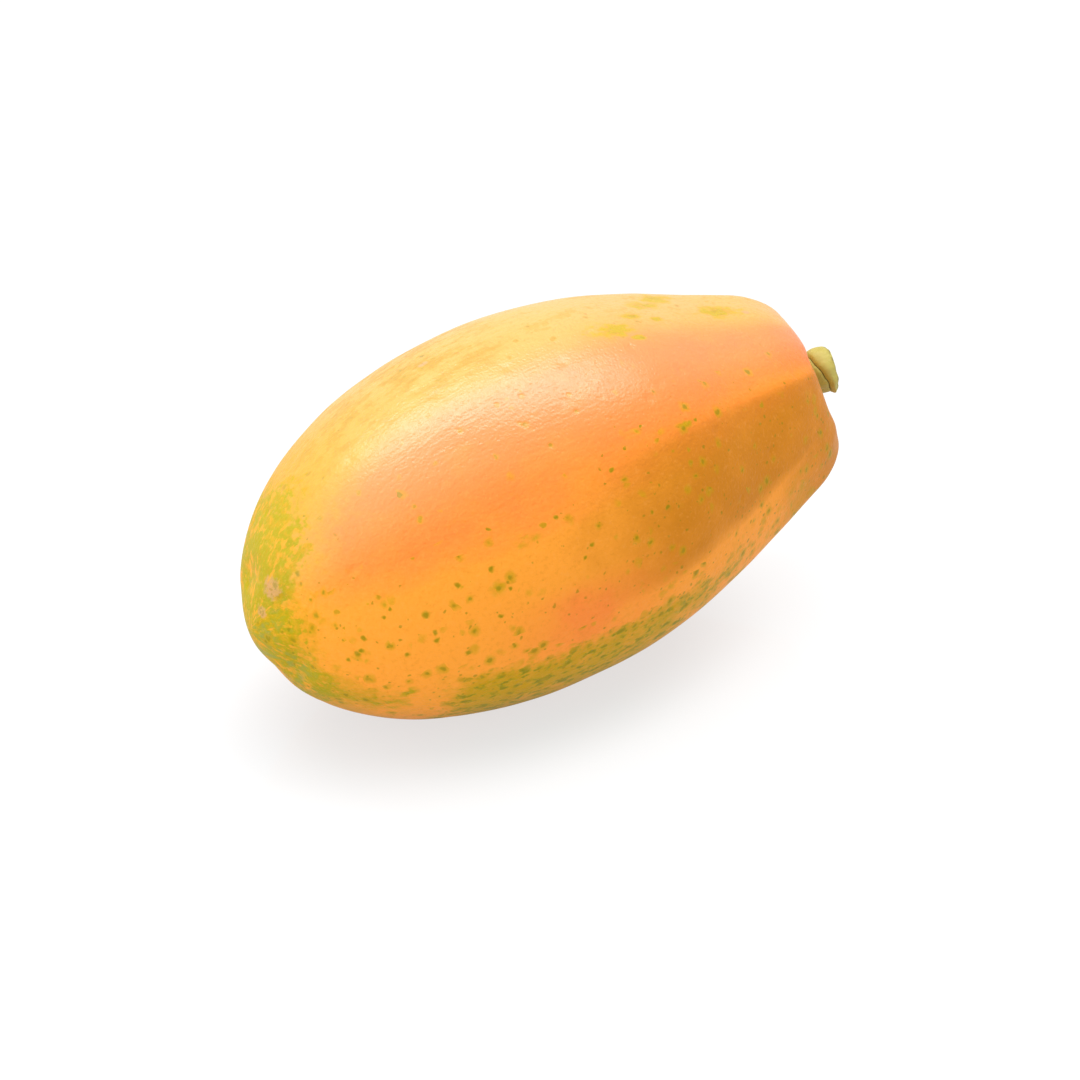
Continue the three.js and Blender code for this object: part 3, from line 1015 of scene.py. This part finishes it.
def white_world(look):
    """Even white surroundings: full white behind the fruit, softer as a light on it"""
    world = bpy.data.worlds.new("white_surroundings")
    graph = node_graph(world)
    seen_directly = graph.add("ShaderNodeLightPath")
    direction = graph.add("ShaderNodeTexCoord")
    away = Vector((-math.sin(CAMERA_AZIMUTH), math.cos(CAMERA_AZIMUTH), 0))
    behind = graph.dot(direction, away).rise(-0.1, 0.9)
    beside = graph.dot(direction, -CAMERA_RIGHT).rise(-0.2, 0.9) * (1 - behind)
    light = behind * (look.back_strength - look.front_strength) + look.front_strength
    light = light + beside * (look.left_strength - look.front_strength)
    backdrop = world.node_tree.nodes["Background"]
    backdrop.inputs["Color"].default_value = (1, 1, 1, 1)
    graph.link(seen_directly + (1 - seen_directly) * light, backdrop.inputs["Strength"])
    return world


def overhead_light(power):
    """A long soft light over the fruit, square to the way the camera looks"""
    lamp = bpy.data.lights.new("overhead_softbox", "AREA")
    lamp.shape = "RECTANGLE"
    lamp.size = OVERHEAD_WIDTH
    lamp.size_y = OVERHEAD_DEPTH
    lamp.energy = power
    light = new_object("overhead_softbox", lamp)
    back = (OVERHEAD_PLACE - OVERHEAD_TARGET).normalized()
    upwards = back.cross(CAMERA_RIGHT).normalized()
    turn = Matrix((upwards.cross(back), upwards, back)).transposed()
    light.matrix_world = Matrix.Translation(OVERHEAD_PLACE) @ turn.to_4x4()


def photo_camera():
    """The camera, which sees the fruit as the photo does"""
    up = CAMERA_BACK.cross(CAMERA_RIGHT)
    lens = bpy.data.cameras.new("photo_camera")
    lens.lens = CAMERA_LENS
    lens.sensor_width = CAMERA_SENSOR
    camera = new_object("photo_camera", lens)
    aim = RING_MIDDLE + CAMERA_RIGHT * AIM_RIGHT - up * AIM_DOWN
    turn = Matrix((CAMERA_RIGHT, up, CAMERA_BACK)).transposed()
    camera.matrix_world = Matrix.Translation(aim + CAMERA_BACK * CAMERA_DISTANCE) @ turn.to_4x4()
    return camera


# Operators and panel

class PAPAYA_OT_grow_fruit(bpy.types.Operator):
    """Grow the fruit body with its skin"""

    bl_idname = "papaya.grow_fruit"
    bl_label = "Grow the Fruit"

    def execute(self, context):
        sizes = property_values(context.scene.papaya_fruit)
        skin = bpy.data.materials.new("papaya_skin")
        fruit = grown_piece("fruit_body", fruit_tree(skin, sizes), sizes)
        paint_skin(skin, property_values(context.scene.papaya_skin), fruit)
        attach(fruit, "root")
        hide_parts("fruit")
        return {"FINISHED"}


class PAPAYA_OT_grow_stalk(bpy.types.Operator):
    """Grow the stalk stub out of the fruit's dished end"""

    bl_idname = "papaya.grow_stalk"
    bl_label = "Grow the Stalk"

    def execute(self, context):
        size = property_values(context.scene.papaya_stalk)
        mesh = stalk_mesh(size, property_values(context.scene.papaya_fruit))
        mesh.materials.append(stalk_material(size))
        stalk = new_object("stalk", mesh)
        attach(stalk, "root")
        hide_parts("stalk_stub")
        return {"FINISHED"}


class PAPAYA_OT_set_stage(bpy.types.Operator):
    """Lay the floor, light it softly from above and place the camera"""

    bl_idname = "papaya.set_stage"
    bl_label = "Set the Stage"

    def execute(self, context):
        scene = context.scene
        look = scene.papaya_stage
        mesh = bmesh.new()
        bmesh.ops.create_grid(mesh, x_segments=8, y_segments=8, size=look.floor_reach / 2)
        data = bpy.data.meshes.new("white_floor")
        mesh.to_mesh(data)
        mesh.free()
        data.materials.append(floor_material(look))
        new_object("white_floor", data)
        scene.world = white_world(look)
        overhead_light(look.overhead_power)
        scene.camera = photo_camera()
        scene.view_settings.view_transform = "Standard"
        return {"FINISHED"}


class PAPAYA_PT_sidebar(bpy.types.Panel):
    """Lists the papaya's pieces and their sizes"""

    bl_label = "Papaya"
    bl_space_type = "VIEW_3D"
    bl_region_type = "UI"
    bl_category = "Papaya"

    def draw(self, context):
        layout = self.layout
        for operator, holder in STEPS:
            box = layout.box()
            box.operator(operator.bl_idname)
            group = getattr(context.scene, holder)
            for name in property_values(group):
                box.prop(group, name)


HOLDERS = {
    "papaya_fruit": PapayaFruitSizes,
    "papaya_skin": PapayaSkinColours,
    "papaya_stalk": PapayaStalkSizes,
    "papaya_stage": PapayaStageLook,
}
STEPS = [
    (PAPAYA_OT_grow_fruit, "papaya_fruit"),
    (PAPAYA_OT_grow_stalk, "papaya_stalk"),
    (PAPAYA_OT_set_stage, "papaya_stage"),
]
CLASSES = [*HOLDERS.values(), *(operator for operator, _ in STEPS), PAPAYA_PT_sidebar]


def register():
    for cls in CLASSES:
        bpy.utils.register_class(cls)
    for holder, group in HOLDERS.items():
        setattr(bpy.types.Scene, holder, bpy.props.PointerProperty(type=group))


def unregister():
    for holder in HOLDERS:
        delattr(bpy.types.Scene, holder)
    for cls in reversed(CLASSES):
        bpy.utils.unregister_class(cls)


def main():
    register()
    bpy.ops.papaya.grow_fruit()
    bpy.ops.papaya.grow_stalk()
    bpy.ops.papaya.set_stage()


if __name__ == "__main__":
    main()
